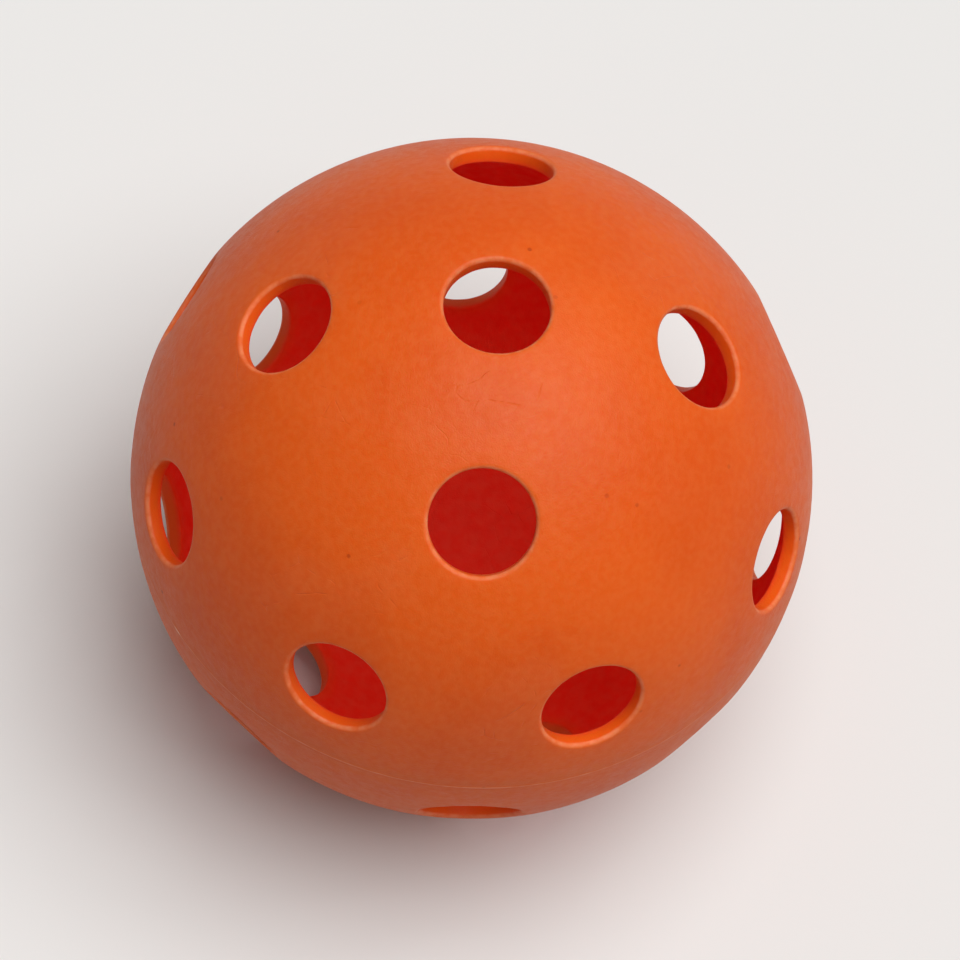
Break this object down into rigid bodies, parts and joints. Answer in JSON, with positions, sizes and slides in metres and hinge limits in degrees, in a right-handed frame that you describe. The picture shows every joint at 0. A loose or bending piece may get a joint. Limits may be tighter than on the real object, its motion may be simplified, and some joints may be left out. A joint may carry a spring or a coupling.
{
  "type": "pickleball ball",
  "caption": "Hollow perforated ball of thin plastic for paddle play: half shells welded rim to rim, with round holes at the poles and in rings about them.",
  "frame": {"origin": "the ball's centre", "axes": "+Z along the line through the two pole holes, towards the upper half; the weld lies in the XY plane; +X passes over one hole of the upper half's first ring"},
  "size_m": [0.0742, 0.0742, 0.073],
  "materials": {
    "shell_plastic": "satin",
    "weld_plastic": "satin"
  },
  "bodies": {
    "root": {"upper_half_shell": "shell_plastic", "lower_half_shell": "shell_plastic", "weld_bead": "weld_plastic"}
  },
  "joints": []
}
